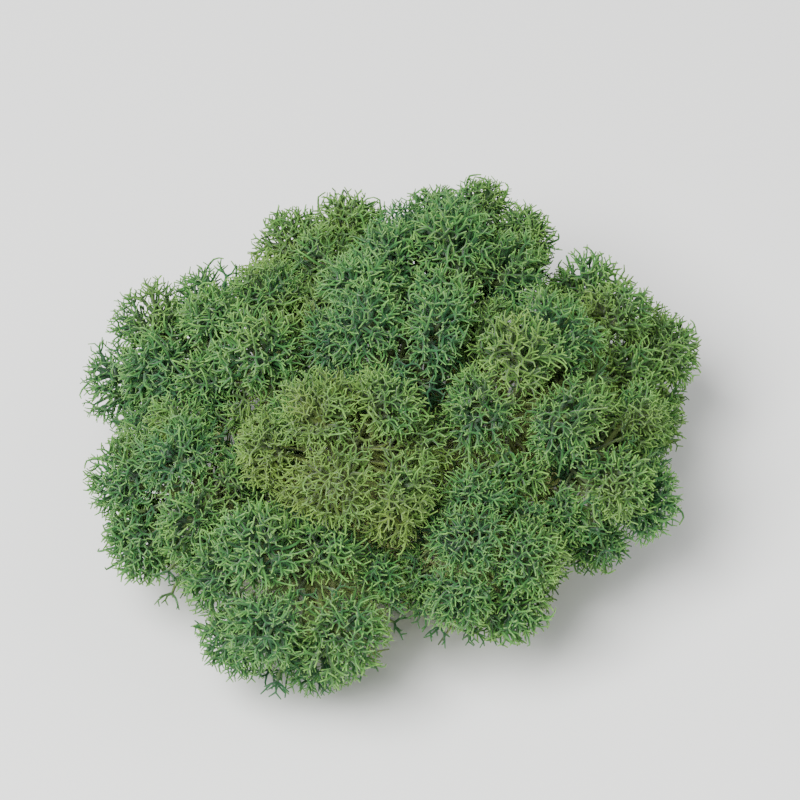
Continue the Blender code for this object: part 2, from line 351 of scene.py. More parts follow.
# %% [markdown]
# ## Bowed paths
#
# A branch leaves its parent in one direction and arrives in another. A curve with handles would
# do, but the handles are lengths to guess. A cubic through both ends with both directions needs
# none. A slow bow and an S are laid over it, because nothing in a lichen is straight.

# %% Bowed paths


def wander(draw, size):
    """A small random step in any direction."""
    return Vector([draw.uniform(-1, 1) * size for _ in range(3)])


def curved_path(start, leaving, end, arriving, steps, sway, draw):
    """Points on a smooth bow from start to end that sways to both sides on the way."""
    span = (end - start).length
    bulge = wander(draw, sway)
    swing = wander(draw, sway)
    path = []
    for k in range(steps + 1):
        t = k / steps
        point = start * (2 * t**3 - 3 * t**2 + 1) + end * (3 * t**2 - 2 * t**3)
        point += leaving * span * (t**3 - 2 * t**2 + t) + arriving * span * (t**3 - t**2)
        point += bulge * math.sin(math.pi * t) + swing * math.sin(math.tau * t)
        path.append(point)
    return path


bow = curved_path(Vector(), UP, UP * 10 * MM, UP, 8, 1 * MM, random.Random(1))
off_line = max(math.hypot(point.x, point.y) for point in bow)
print("a bow of 10 mm strays up to", round(off_line / MM, 1), "mm from its line")

# %% [markdown]
# ## A spray
#
# Every thread of the crown ends in a spray: a stalk of under a millimetre that splits into
# three or four arms round an open middle, each arm curling away with a side tip of its own.
# Reindeer moss is told from other lichens by just this whorl. Each one could be grown anew, but
# six different sprays are enough: turned and scaled at random, no two look alike. They are
# drawn one unit long and set at their real size later, and each has only a few dozen faces.

# %% Six sprays
SPRAY_KINDS = 6
SPRAY_SEED = 31
SPRAY_ROOT = 0.1  # how deep a spray starts inside the branch that it stands on
SPRAY_STALK = 0.24
STALK_LEAN = 0.05
STALK_RADIUS = 0.074
ARM_RADIUS = 0.066
LOW_TIP_SHARE = 0.8  # of an arm's radius, where the side tip leaves it
HIGH_TIP_SHARE = 0.6
POINT_RADIUS = 0.027
FEWEST_ARMS = 3
ARM_TURN_SCATTER = 0.22
ARM_REACH = (0.80, 1.08)
SPRAY_STALK_AGES = (0.60, 0.68)
ARM_AGES = (0.68, 1.0)
LOW_TIP_AGES = (0.8, 1.0)
HIGH_TIP_AGES = (0.88, 1.0)
# Each step of an arm: outwards, upwards and sideways. A pair is a range to draw from.
TO_KNEE = (0.25, 0.13, 0.0)
TO_BEND = (0.16, 0.26, 0.09)
TO_POINT = ((-0.14, 0.16), 0.2, 0.22)
TO_LOW_TIP = ((0.2, 0.32), (0.08, 0.22), -0.2)
TO_HIGH_TIP = ((-0.1, 0.1), 0.2, -0.16)


def drawn(part, draw):
    """A number as it is, or one from within a pair."""
    return draw.uniform(*part) if isinstance(part, tuple) else part


def arm_step(start, parts, ways, reach, draw):
    """Where a step from start ends, one part of it along each of the ways."""
    moves = [way * drawn(part, draw) for way, part in zip(ways, parts)]
    return start + sum(moves, Vector()) * reach


def spray_skeleton(seed):
    """One spray, one unit long, pointing up."""
    draw = random.Random(seed)
    spray = Skeleton()
    split = Vector([draw.uniform(-STALK_LEAN, STALK_LEAN) for _ in range(2)] + [SPRAY_STALK])
    spray.add_line([-UP * SPRAY_ROOT, split], (STALK_RADIUS, ARM_RADIUS), SPRAY_STALK_AGES)
    arms = FEWEST_ARMS + seed % 2
    for k in range(arms):
        turn = math.tau * (k + draw.uniform(-ARM_TURN_SCATTER, ARM_TURN_SCATTER)) / arms
        outward = Vector((math.cos(turn), math.sin(turn), 0))
        ways = (outward, UP, outward.cross(UP) * draw.choice((-1, 1)))
        reach = draw.uniform(*ARM_REACH)
        knee = arm_step(split, TO_KNEE, ways, reach, draw)
        bend = arm_step(knee, TO_BEND, ways, reach, draw)
        point = arm_step(bend, TO_POINT, ways, reach, draw)
        spray.add_line([split, knee, bend, point], (ARM_RADIUS, POINT_RADIUS), ARM_AGES)
        side_tips = [(knee, TO_LOW_TIP, LOW_TIP_SHARE, LOW_TIP_AGES)]
        if arms == FEWEST_ARMS:
            side_tips.append((bend, TO_HIGH_TIP, HIGH_TIP_SHARE, HIGH_TIP_AGES))
        for start, parts, share, ages in side_tips:
            tip = arm_step(start, parts, ways, reach, draw)
            spray.add_line([start, tip], (ARM_RADIUS * share, POINT_RADIUS), ages)
    return spray


spray_skeletons = [spray_skeleton(SPRAY_SEED + kind) for kind in range(SPRAY_KINDS)]
print("the sprays have", [len(spray.lines) for spray in spray_skeletons], "lines")

# %% [markdown]
# ## A lobe's room
#
# A plant grows from its feet, but its shape is easier to say from the other end: the sprays
# stop at the lobe's own round surface, and where it is pressed flat against its neighbours.
# This asks how far a lobe may grow in a direction.

# %% Reach of a lobe
PRESS_GAP = 0.3 * MM
FLATTEST_LOBE = 0.25  # the least that other lobes leave of a lobe's radius


def reach_in(lobe, crown, lobes):
    """A function that says how far the lobe reaches in a direction, round or pressed flat."""

    def reach_that_way(way):
        crown_wall = wall_reach(crown, lobe.centre, way, crowns, PRESS_GAP)
        lobe_wall = wall_reach(lobe, lobe.centre, way, lobes, PRESS_GAP)
        return min(lobe.radius, crown_wall, max(lobe_wall, lobe.radius * FLATTEST_LOBE))

    return reach_that_way


first_lobes = lobes_by_crown[0]
first_lobe = first_lobes[0]
first_reach = reach_in(first_lobe, crowns[0], first_lobes)
print("the first lobe reaches", round(first_reach(first_lobe.axis) / MM, 1), "mm outwards")

# %% [markdown]
# ## Main branches
#
# At the foot of a lobe one stalk fans out like the ribs of an umbrella. The fan could be left
# to chance; directions along a golden spiral leave no bare patch and still look unplanned.

# %% Main branches of a lobe
SPRAY_CAP = 116  # degrees from the lobe's axis
MAIN_BRANCHES = 9
MAIN_SHARE = 0.30  # of the lobe's reach, where a main branch ends
MAIN_SPREAD = 0.5  # how much of a branch's own way is in the way it leaves
MAIN_STEPS = 3
MAIN_SWAY = 0.25 * MM
MAIN_RADII = (0.38 * MM, 0.28 * MM)
MAIN_AGES = (0.42, 0.55)


def grow_main_branches(plant, root, lobe, reach_that_way, turn, draw):
    """The fan of main branches, as pairs of a direction and an end."""
    heads = []
    for way in golden_directions(MAIN_BRANCHES, SPRAY_CAP, lobe.axis, turn):
        head = lobe.centre + way * reach_that_way(way) * MAIN_SHARE
        leaving = (lobe.axis + way * MAIN_SPREAD).normalized()
        path = curved_path(root, leaving, head, way, MAIN_STEPS, MAIN_SWAY, draw)
        plant.add_line(path, MAIN_RADII, MAIN_AGES)
        heads.append((way, head))
    return heads


trial = Skeleton()
trial_draw = random.Random(0)
trial_heads = grow_main_branches(
    trial, first_lobe.centre, first_lobe, first_reach, 0.0, trial_draw
)
print("a lobe has", len(trial_heads), "main branches of", MAIN_STEPS, "steps")

# %% [markdown]
# ## Fine branches with sprays
#
# Each fine branch starts at the end of the nearest main branch and carries one spray. Sprays of
# one main branch lean together into a small tuft. A second, sparser layer below closes the
# view into the lobe. Lobes differ: some are tight and fine, others loose, with fewer and longer
# sprays. Hair particles could spread as many, but wouldn't join up with a branch below them.

# %% Fine branches of a lobe
OUTER_SPRAYS = (68, 48)  # in a tight lobe and in a loose one
OUTER_LAYER = (0.95, 0.08)  # the share of the lobe's reach, and how much it varies
INNER_SPRAYS = 12
INNER_LAYER = (0.66, 0.12)
WAY_SCATTER = 0.10  # a random step beside a direction of length 1
PRESSED_SHARE = 0.62  # of a lobe's radius: what reaches less far is pressed against a neighbour
PRESSED_KEPT = 0.3
TUFT_PULL = 0.12  # of the way to the main branch's own direction
TUFT_FALL = 0.18  # how much lower the sprays at a tuft's edge end
SPRAY_LENGTH = (2.4 * MM, 3.6 * MM)
LENGTH_SCATTER = (0.85, 1.15)
LONGEST_SHARE = 0.75  # of the lobe's reach
SHORTEST_SPRAY = 1.4 * MM
SPRAY_HEIGHT = 0.85  # of its length, from its foot to its tips
FACING_SCATTER = (0.25, 0.45)  # in a tight lobe and in a loose one
FINE_STEPS = 2
FINE_SWAY = 0.2 * MM
FINE_RADII = (0.28 * MM, 0.22 * MM)
FINE_AGES = (0.52, 0.62)


def grow_fine_branches(plant, lobe, heads, reach_that_way, looseness, turn, draw):
    """Two layers of fine branches, each with a spray at its end."""
    outer = round(between(OUTER_SPRAYS, looseness))
    for count, (share, scatter) in ((outer, OUTER_LAYER), (INNER_SPRAYS, INNER_LAYER)):
        for way in golden_directions(count, SPRAY_CAP, lobe.axis, turn + count):
            way = (way + wander(draw, WAY_SCATTER)).normalized()
            rib, head = max(heads, key=lambda pair: pair[0].dot(way))
            aside = rib.angle(way)
            way = way.lerp(rib, TUFT_PULL).normalized()
            full = reach_that_way(way)
            if full < lobe.radius * PRESSED_SHARE and draw.random() > PRESSED_KEPT:
                continue
            out = full * (share + draw.uniform(-1, 1) * scatter - TUFT_FALL * aside**2)
            length = between(SPRAY_LENGTH, looseness) * draw.uniform(*LENGTH_SCATTER)
            length = min(length, max(full * LONGEST_SHARE, SHORTEST_SPRAY))
            spot = lobe.centre + way * (out - length * SPRAY_HEIGHT)
            facing = (way + wander(draw, between(FACING_SCATTER, looseness))).normalized()
            path = curved_path(head, rib, spot, facing, FINE_STEPS, FINE_SWAY, draw)
            plant.add_line(path, FINE_RADII, FINE_AGES)
            plant.add_spray(spot, facing, length)


grow_fine_branches(trial, first_lobe, trial_heads, first_reach, 0.5, 0.0, trial_draw)
print("a middling lobe carries", sum(trial.carries_spray), "sprays")

# %% [markdown]
# ## Wayward threads
#
# A few threads of each lobe outgrow the others and curl back over it. They break the lobe's
# outline and are what the eye takes for moss. A helix would look wound; a heading that turns a
# little at each step, always about the same line, curls as a growing thread does.

# %% Wayward threads
LOOSE_THREADS = (3, 9)  # in a tight lobe and in a loose one
THREAD_CAP = 96
THREAD_START = 0.45  # of the lobe's reach
THREAD_AIM = 0.5  # a random step beside the first heading
THREAD_CURL = 0.32  # how much the heading turns at each step
THREAD_WANDER = 0.18
THREAD_LENGTH = 6.5 * MM
THREAD_STEPS = 7
THREAD_RADII = (0.26 * MM, 0.10 * MM)
THREAD_AGES = (0.66, 1.0)


def add_loose_threads(plant, lobe, reach_that_way, looseness, draw):
    """Long curling threads that start inside the lobe and end near its surface."""
    count = round(between(LOOSE_THREADS, looseness))
    for way in golden_directions(count, THREAD_CAP, lobe.axis, draw.uniform(0, math.tau)):
        point = lobe.centre + way * reach_that_way(way) * THREAD_START
        heading = (way + wander(draw, THREAD_AIM)).normalized()
        curl = way.cross(wander(draw, 1.0)).normalized()
        path = [point]
        for _ in range(THREAD_STEPS):
            heading = (heading + curl * THREAD_CURL + wander(draw, THREAD_WANDER)).normalized()
            point = point + heading * THREAD_LENGTH / THREAD_STEPS
            from_centre = point - lobe.centre
            out = from_centre.normalized()
            point = lobe.centre + out * min(from_centre.length, reach_that_way(out))
            path.append(point)
        plant.add_line(path, THREAD_RADII, THREAD_AGES)


lines_before = len(trial.lines)
add_loose_threads(trial, first_lobe, first_reach, 0.5, trial_draw)
print("loose threads add", (len(trial.lines) - lines_before) // THREAD_STEPS, "to that lobe")

# %% [markdown]
# ## The inside of a crown
#
# Under the lobes a crown isn't hollow: short branches fill its middle and close the view
# between its lobes. A dark ball inside would close it too, but would show as a smooth ball from
# the side. The same fine branches are used again, with painted shade: their colours are taken
# lower on the ramp, mostly darker, because they lie in the crown's shadow.

# %% The inside of a crown
CORE_SHARE = (0.86, 0.60)  # of the crown's radius, to its sides and at its top
CORE_GAP = 0.9 * MM
CORE_SPRAYS = 56
CORE_CAP = 130  # degrees from the crown's axis
CORE_LENGTH = (2.88 * MM, 3.96 * MM)
CORE_SINK = 0.6  # of a spray's length, from its tips to where it stands
CORE_STEPS = 3
CORE_SWAY = 0.9 * MM
CORE_AGES = (0.52, 0.64)
# Painted shade: the crown's inside takes its colour at this share of its age, mostly darker
CORE_LIT_SHARE = 0.8


def fill_crown(plant, hub, crown, draw):
    """Sprays on the core of a crown, in painted shade, which close the view between its lobes."""
    # Paint shade on everything grown here, then go back to full light
    plant.lit_share = CORE_LIT_SHARE
    for way in golden_directions(CORE_SPRAYS, CORE_CAP, crown.axis, draw.uniform(0, math.tau)):
        way = (way + wander(draw, WAY_SCATTER)).normalized()
        wall = wall_reach(crown, crown.centre, way, crowns, CORE_GAP)
        upward = max(way.dot(crown.axis), 0.0)
        out = min(crown.radius * between(CORE_SHARE, upward), wall)
        length = draw.uniform(*CORE_LENGTH)
        spot = crown.centre + way * max(out - length * CORE_SINK, 0.0)
        path = curved_path(hub, crown.axis, spot, way, CORE_STEPS, CORE_SWAY, draw)
        plant.add_line(path, FINE_RADII, CORE_AGES)
        plant.add_spray(spot, way, length)
    plant.lit_share = 1.0


fill_crown(trial, crowns[0].centre, crowns[0], trial_draw)
print("with the crown's inside the trial has", sum(trial.carries_spray), "sprays")

# %% [markdown]
# ## Old side branches
#
# Below the crown the strands carry old side branches that the light no longer reaches. They
# are bare, forked and bent, and take little dye. Sprays would be too green and too full here,
# so these are grown as lines alone: a side branch, with a short fork at each of its joints.

# %% Old side branches
SIDE_SCATTER = 0.9  # a random step beside the way that it grows
SIDE_RISE = (0.0, 0.99)  # upwards, for about 1 outwards
SIDE_LIFT = 0.6  # how much more upwards it leaves the strand than it goes on
SIDE_ARRIVAL = 0.5  # a random step beside the way that it ends in
SIDE_LENGTH = (3.5 * MM, 8.0 * MM)
SIDE_STEPS = 3
SIDE_SWAY = 0.5 * MM
SIDE_RADII = (0.32 * MM, 0.22 * MM)
SIDE_AGES = (0.16, 0.36)
FORK_SCATTER = 0.75
FORK_ARRIVAL = 0.6
FORK_LENGTH = (1.4 * MM, 3.4 * MM)
FORK_STEPS = 2
FORK_SWAY = 0.15 * MM
FORK_RADII = (0.20 * MM, 0.10 * MM)
FORK_AGES = (0.32, 0.50)
FORKS_AT_END = 2
LOWEST_TIP = 1.0 * MM


def above_table(point):
    """The same point, kept clear of the table."""
    return Vector((point.x, point.y, max(point.z, LOWEST_TIP)))


def add_fork(plant, start, way, draw):
    """A short bare fork with a point at its end."""
    way = (way + wander(draw, FORK_SCATTER)).normalized()
    end = above_table(start + way * draw.uniform(*FORK_LENGTH))
    arriving = (way + wander(draw, FORK_ARRIVAL)).normalized()
    path = curved_path(start, way, end, arriving, FORK_STEPS, FORK_SWAY, draw)
    plant.add_line(path, FORK_RADII, FORK_AGES)


def add_side_branch(plant, start, beside, draw):
    """An old side branch, forked to both sides and at its end."""
    out = beside + wander(draw, SIDE_SCATTER)
    out.z = draw.uniform(*SIDE_RISE)
    out.normalize()
    end = above_table(start + out * draw.uniform(*SIDE_LENGTH))
    leaving = (out + UP * SIDE_LIFT).normalized()
    arriving = (out + wander(draw, SIDE_ARRIVAL)).normalized()
    side = curved_path(start, leaving, end, arriving, SIDE_STEPS, SIDE_SWAY, draw)
    plant.add_line(side, SIDE_RADII, SIDE_AGES)
    for joint in side[1:-1] + [side[-1]] * FORKS_AT_END:
        add_fork(plant, joint, out, draw)


lines_before = len(trial.lines)
add_side_branch(trial, Vector((0, 0, 10 * MM)), Vector((1, 0, 0)), trial_draw)
print("a side branch with its forks has", len(trial.lines) - lines_before, "pieces of line")

# %% [markdown]
# ## Strands
#
# What carries a crown is a loose sheaf of thin strands, tangled with their side branches, and
# not a trunk. A single thick stem would hold it up as well, but would turn the clump into a
# bunch of little trees. A few strands rise side by side from each foot and splay out below the
# crown. They are the only lines that get six sides, because they are the thickest.

# %% Strands
WIDE_FOOT = 1.2 * MM
STRANDS_A_FOOT = (3, 5)  # on a narrow foot and on a wide one
FOOT_SHARE = 0.62  # of the foot's radius, how far from its middle a strand starts
STRAND_SPREAD = 0.25  # outwards, for 1 upwards
STRAND_SCATTER = 0.15
STRAND_RADII = (0.50 * MM, 0.38 * MM)
STRAND_AGES = (0.0, 0.40)
STRAND_STEPS = 10
STRAND_SWAY = 0.9 * MM
HUB_SPREAD = 2.6 * MM
HUB_SCATTER = 1.2 * MM
SIDE_BRANCH_STEPS = (1, 2, 4, 6)


def grow_strands(plant, foot, hub, crown, draw):
    """The strands that rise side by side from one foot and splay out under the crown."""
    centre, radius = foot
    paths = []
    first_turn = draw.uniform(0, math.tau)
    count = STRANDS_A_FOOT[1] if radius > WIDE_FOOT else STRANDS_A_FOOT[0]
    for k in range(count):
        turn = first_turn + math.tau * k / count
        beside = Vector((math.cos(turn), math.sin(turn), 0))
        start = centre + beside * radius * FOOT_SHARE
        leaving = (UP + beside * STRAND_SPREAD + wander(draw, STRAND_SCATTER)).normalized()
        end = hub + beside * HUB_SPREAD + wander(draw, HUB_SCATTER)
        path = curved_path(start, leaving, end, crown.axis, STRAND_STEPS, STRAND_SWAY, draw)
        plant.add_line(path, STRAND_RADII, STRAND_AGES, is_stem=True)
        paths.append(path)
        for step in SIDE_BRANCH_STEPS:
            add_side_branch(plant, path[step], beside, draw)
    return paths


first_foot = feet_of(names[0])[0]
trial_strands = grow_strands(trial, first_foot, crowns[0].centre, crowns[0], trial_draw)
print("the first foot of", names[0], "carries", len(trial_strands), "strands")

# %% [markdown]
# ## A whole plant
#
# One function puts the pieces together, from the feet up. Every plant and every lobe also gets
# its own tone, because the dye leaves some of them yellower and others bluer. A lobe's stalk
# starts at the strand that ends nearest to it, so every spray is joined to a foot.

# %% Whole plants
GROWTH_SEEDS = LAYOUT_SEED * 1000
TONE_SHARED = 0.65  # the part of a lobe's tone that it shares with its plant
HUB_ASIDE = 0.3  # of the way from the crown's centre towards the foot
HUB_DEPTH = 0.2  # of the crown's radius below its centre
ROOT_DEPTH = 0.25  # of a lobe's radius below its centre
STALK_STEPS = 4
STALK_SWAY = 0.4 * MM
STALK_RADII = (0.50 * MM, 0.40 * MM)
STALK_AGES = (0.36, 0.46)


def add_stalk(plant, strands, root, lobe, crown, draw):
    """The stalk from the nearest strand to the root of a lobe."""
    strand = min(strands, key=lambda path: (path[-1] - root).length)
    start = strand[-2]
    leaving = ((root - start).normalized() + crown.axis).normalized()
    path = curved_path(start, leaving, root, lobe.axis, STALK_STEPS, STALK_SWAY, draw)
    plant.add_line(path, STALK_RADII, STALK_AGES)


def grow_plant(index):
    """The whole skeleton of one plant."""
    crown = crowns[index]
    lobes = lobes_by_crown[index]
    draw = random.Random(GROWTH_SEEDS + index)
    plant = Skeleton()
    plant_tone = draw.uniform(-1, 1)
    plant.tone = plant_tone
    strands = []
    for foot in feet_of(names[index]):
        level = foot[0] - crown.centre
        level.z = 0
        hub = crown.centre + level * HUB_ASIDE - crown.axis * crown.radius * HUB_DEPTH
        strands += grow_strands(plant, foot, hub, crown, draw)
    middle_hub = sum((path[-1] for path in strands), Vector()) / len(strands)
    fill_crown(plant, middle_hub, crown, draw)
    for lobe in lobes:
        plant.tone = TONE_SHARED * plant_tone + (1 - TONE_SHARED) * draw.uniform(-1, 1)
        looseness = draw.random()
        reach_that_way = reach_in(lobe, crown, lobes)
        root = lobe.centre - lobe.axis * lobe.radius * ROOT_DEPTH
        add_stalk(plant, strands, root, lobe, crown, draw)
        turn = draw.uniform(0, math.tau)
        heads = grow_main_branches(plant, root, lobe, reach_that_way, turn, draw)
        grow_fine_branches(plant, lobe, heads, reach_that_way, looseness, turn, draw)
        add_loose_threads(plant, lobe, reach_that_way, looseness, draw)
    return plant


skeletons = [grow_plant(index) for index in range(len(crowns))]
spray_count = sum(sum(plant.carries_spray) for plant in skeletons)
print(len(skeletons), "skeletons carry", spray_count, "sprays")

# %% [markdown]
# ## Thickness by Geometry Nodes
#
# Threads follow lines, so a tree of nodes turns the lines into tubes: Mesh to Curve makes each
# line a curve, and Curve to Mesh sweeps a circle along it, scaled by the radius stored at each
# point. A Skin modifier could do it too, but it is slow and lumpy at this number of lines. One
# small function adds every node, with its settings and its links.

# %% Tubes along lines


def add_node(tree, kind, links=(), **settings):
    """A node of a tree: links pairs an input with a value or with another node's output."""
    node = tree.nodes.new(kind)
    for label, value in settings.items():
        setattr(node, label, value)
    for socket, source in dict(links).items():
        if isinstance(source, bpy.types.NodeSocket):
            tree.links.new(source, node.inputs[socket])
        else:
            node.inputs[socket].default_value = source
    return node


def new_tree(name, sockets):
    """A geometry tree with named inputs and a geometry output."""
    tree = bpy.data.node_groups.new(name, "GeometryNodeTree")
    for label, kind in sockets.items():
        tree.interface.new_socket(label, in_out="INPUT", socket_type="NodeSocket" + kind)
    tree.interface.new_socket("Geometry", in_out="OUTPUT", socket_type="NodeSocketGeometry")
    return tree


def branch_tree():
    """Lines become tubes as thick as their points say."""
    sockets = {"Geometry": "Geometry", "Selection": "Bool", "Sides": "Int"}
    tree = new_tree("tubes along lines", sockets)
    given = add_node(tree, "NodeGroupInput").outputs
    links = {"Mesh": given["Geometry"], "Selection": given["Selection"]}
    lines = add_node(tree, "GeometryNodeMeshToCurve", links)
    links = {"Resolution": given["Sides"], "Radius": 1.0}
    circle = add_node(tree, "GeometryNodeCurvePrimitiveCircle", links)
    radius = add_node(tree, "GeometryNodeInputNamedAttribute", {"Name": "tube_radius"})
    links = {
        "Curve": lines.outputs["Curve"],
        "Profile Curve": circle.outputs["Curve"],
        "Scale": radius.outputs["Attribute"],
        "Fill Caps": True,
    }
    tubes = add_node(tree, "GeometryNodeCurveToMesh", links)
    smooth = add_node(tree, "GeometryNodeSetShadeSmooth", {"Geometry": tubes.outputs["Mesh"]})
    add_node(tree, "NodeGroupOutput", {"Geometry": smooth.outputs["Geometry"]})
    return tree


tubes_along_lines = branch_tree()
print("the tree of the tubes has", len(tubes_along_lines.nodes), "nodes")

# %% [markdown]
# ## Sprays on points
#
# A second tree reads the loose points and sets one of the sprays on each: turned to face the
# way that the branch points, spun round that way at random, and scaled to its size. The spin
# and the choice of spray come from a seed that the modifier gives, so each run is the same.

# %% Sprays on points


def spray_tree():
    """Each point that carries a spray gets one."""
    sockets = {"Geometry": "Geometry", "Sprays": "Collection", "Seed": "Int"}
    tree = new_tree("sprays on points", sockets)
    given = add_node(tree, "NodeGroupInput").outputs
    stored = {}
    wanted = {"carries_spray": "BOOLEAN", "facing": "FLOAT_VECTOR", "size": "FLOAT"}
    for label, kind in wanted.items():
        node = add_node(tree, "GeometryNodeInputNamedAttribute", {"Name": label}, data_type=kind)
        stored[label] = node.outputs["Attribute"]
    links = {"Mesh": given["Geometry"], "Selection": stored["carries_spray"]}
    points = add_node(tree, "GeometryNodeMeshToPoints", links)
    links = {"Collection": given["Sprays"], "Separate Children": True, "Reset Children": True}
    kinds = add_node(tree, "GeometryNodeCollectionInfo", links)
    # Random Value has a pair of limits for each type: 2 and 3 for floats, 4 and 5 for integers
    links = {"Seed": given["Seed"], 4: 0, 5: SPRAY_KINDS - 1}
    which = add_node(tree, "FunctionNodeRandomValue", links, data_type="INT")
    links = {"Seed": given["Seed"], 2: 0.0, 3: math.tau}
    spin = add_node(tree, "FunctionNodeRandomValue", links, data_type="FLOAT")
    links = {"Vector": stored["facing"]}
    upright = add_node(tree, "FunctionNodeAlignRotationToVector", links, axis="Z")
    links = {"Axis": tuple(UP), "Angle": spin.outputs[1]}
    about = add_node(tree, "FunctionNodeAxisAngleToRotation", links)
    links = {"Rotation": upright.outputs["Rotation"], "Rotate By": about.outputs["Rotation"]}
    turned = add_node(tree, "FunctionNodeRotateRotation", links, rotation_space="LOCAL")
    links = {
        "Points": points.outputs["Points"],
        "Instance": kinds.outputs["Instances"],
        "Pick Instance": True,
        "Instance Index": which.outputs[2],
        "Rotation": turned.outputs["Rotation"],
        "Scale": stored["size"],
    }
    sprays = add_node(tree, "GeometryNodeInstanceOnPoints", links)
    add_node(tree, "NodeGroupOutput", {"Geometry": sprays.outputs["Instances"]})
    return tree


sprays_on_points = spray_tree()
print("the tree of the sprays has", len(sprays_on_points.nodes), "nodes")

# %% [markdown]
# ## The tree of a whole plant
#
# The third tree joins what the first two make. It uses the tubes twice: the strands get six
# sides and the finer threads three, which is enough for something half a millimetre thick. It
# ends by making the instances real, so that a plant is one plain mesh.

# %% Tree of a plant
STRAND_SIDES = 6
THREAD_SIDES = 3


def plant_tree():
    """A skeleton becomes a plant: strands, threads and sprays."""
    sockets = {
        "Geometry": "Geometry",
        "Strand Sides": "Int",
        "Thread Sides": "Int",
        "Sprays": "Collection",
        "Seed": "Int",
        "Material": "Material",
    }
    tree = new_tree("plant from skeleton", sockets)
    given = add_node(tree, "NodeGroupInput").outputs
    links = {"Name": "is_stem"}
    is_stem = add_node(tree, "GeometryNodeInputNamedAttribute", links, data_type="BOOLEAN")
    is_stem = is_stem.outputs["Attribute"]
    not_stem = add_node(tree, "FunctionNodeBooleanMath", {0: is_stem}, operation="NOT").outputs[0]
    join = add_node(tree, "GeometryNodeJoinGeometry")
    for selection, sides in ((is_stem, "Strand Sides"), (not_stem, "Thread Sides")):
        links = {"Geometry": given["Geometry"], "Selection": selection, "Sides": given[sides]}
        tubes = add_node(tree, "GeometryNodeGroup", links, node_tree=tubes_along_lines)
        tree.links.new(tubes.outputs[0], join.inputs["Geometry"])
    links = {label: given[label] for label in ("Geometry", "Sprays", "Seed")}
    sprays = add_node(tree, "GeometryNodeGroup", links, node_tree=sprays_on_points)
    tree.links.new(sprays.outputs[0], join.inputs["Geometry"])
    links = {"Geometry": join.outputs["Geometry"]}
    whole = add_node(tree, "GeometryNodeRealizeInstances", links)
    links = {"Geometry": whole.outputs["Geometry"], "Material": given["Material"]}
    coloured = add_node(tree, "GeometryNodeSetMaterial", links)
    add_node(tree, "NodeGroupOutput", {"Geometry": coloured.outputs["Geometry"]})
    return tree


plant_from_skeleton = plant_tree()
print("the tree of a plant has", len(plant_from_skeleton.nodes), "nodes")

# %% [markdown]
# ## Dyed, preserved lichen
#
# A lichen's skin is a felt of fine fungal threads with algae under it. Preserved with
# glycerine and dyed, it keeps a soft, slightly leathery look. The dye takes unevenly: old
# stems stay pale, the crowns take most, and the newest tips are lighter again. The deep green
# of the inner branches is partly painted shade for the hollows of the lobes, and the light
# points of the tips are partly a painted highlight. One flat green would look like plastic,
# and a picture of moss would smear over the threads. Noise in real sizes, together with the
# age, tone and lit share that the skeleton stored, gives both scales; the lit share paints
# shade on the inside of each crown.

# %% Material
# Colours along a thread, from the table to its point: age times lit share (below 1 in painted
# shade), and the colour there
SHADES = (
    (0.00, "#CDCB92"),  # old stem
    (0.36, "#A3B468"),  # young stem
    # Darkest where the branches lie deep in a lobe: partly the dye, partly painted shade
    (0.56, "#25522A"),  # branch
    (0.74, "#31662D"),  # twig
    (0.90, "#4C8437"),  # tip
    # Lighter at the very points: partly the newest growth, partly a painted highlight
    (1.00, "#7BAA50"),  # point
)
YELLOWER = "#8C9A34"
BLUER = "#28624A"
PATCH_SIZE = 14 * MM  # about a lobe, which the dye leaves yellower or bluer than the next
MOTTLE_SIZE = 3 * MM  # about a spray
GRAIN_SIZE = 0.6 * MM  # the real felt is finer than 0.1 mm, which wouldn't show
PATCH_STRENGTH = 2.4
TONE_STRENGTH = 0.55
NOISE_ROUGHNESS = 0.6
BUMP_STRENGTH = 0.5
BUMP_DEPTH = 0.08 * MM
FELT = {"IOR": 1.5, "Specular IOR Level": 0.3, "Sheen Weight": 0.15, "Sheen Roughness": 0.5}


def colour(hex_value):
    """A linear colour from an sRGB hex value."""
    parts = [int(hex_value[k : k + 2], 16) / 255 for k in (1, 3, 5)]
    linear = [p / 12.92 if p <= 0.04045 else ((p + 0.055) / 1.055) ** 2.4 for p in parts]
    return (*linear, 1.0)


def lichen_patterns(tree):
    """Hue, light, speck, roughness and grain as the sockets that the colours are mixed from."""
    place = add_node(tree, "ShaderNodeTexCoord").outputs["Object"]
    noises = []
    for size, detail in ((PATCH_SIZE, 2), (MOTTLE_SIZE, 3), (GRAIN_SIZE, 3)):
        links = {
            "Vector": place,
            "Scale": 1 / size,
            "Detail": detail,
            "Roughness": NOISE_ROUGHNESS,
        }
        noises.append(add_node(tree, "ShaderNodeTexNoise", links).outputs["Fac"])
    patches, mottle, grain = noises
    tone = add_node(tree, "ShaderNodeAttribute", attribute_name="tone").outputs["Fac"]
    links = {0: patches, 1: PATCH_STRENGTH, 2: -PATCH_STRENGTH / 2}
    hue = add_node(tree, "ShaderNodeMath", links, operation="MULTIPLY_ADD").outputs[0]
    links = {0: tone, 1: TONE_STRENGTH, 2: hue}
    hue = add_node(tree, "ShaderNodeMath", links, operation="MULTIPLY_ADD").outputs[0]
    stretched = {"grain": grain}
    for label, value, given, wanted in (
        ("yellow", hue, (0.0, 1.2), (0.0, 0.58)),
        ("blue", hue, (0.0, -1.2), (0.0, 0.48)),
        ("light", mottle, (0.3, 0.7), (0.78, 1.18)),
        ("speck", grain, (0.3, 0.7), (0.86, 1.12)),
        ("roughness", grain, (0.3, 0.7), (0.72, 0.9)),
    ):
        links = {"Value": value, 1: given[0], 2: given[1], 3: wanted[0], 4: wanted[1]}
        stretched[label] = add_node(tree, "ShaderNodeMapRange", links).outputs["Result"]
    return stretched


